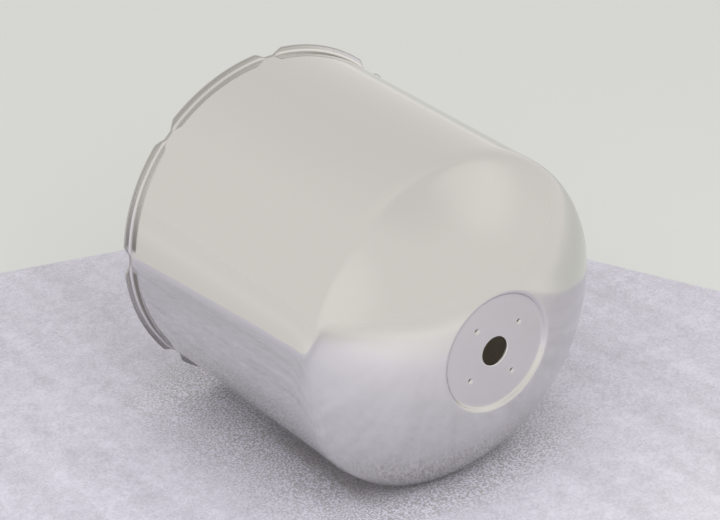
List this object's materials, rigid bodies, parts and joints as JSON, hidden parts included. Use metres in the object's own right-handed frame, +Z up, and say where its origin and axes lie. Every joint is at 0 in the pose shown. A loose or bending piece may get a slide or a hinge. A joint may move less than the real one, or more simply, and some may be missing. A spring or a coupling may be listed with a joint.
{
  "type": "axle hub cover",
  "caption": "Deep round cup of mirror-polished stainless sheet with a domed end, a recessed pad with a centre hole and tabs turned out at the rim; closes a wheel's bore over the axle hub.",
  "frame": {"origin": "centre of the open rim, on the plane of the tabs' rear faces", "axes": "Y is the cup's axis, with the dome towards -Y and the open rim towards +Y; +Z is up, through the middle of a notch, as the cover sits in a wheel and as it lies in the picture"},
  "size_m": [0.127, 0.1282, 0.127],
  "materials": {
    "polished_stainless": "mirror-polished stainless steel outside, plain drawn sheet inside"
  },
  "bodies": {
    "root": {"hub_cover": "polished_stainless"}
  },
  "joints": []
}
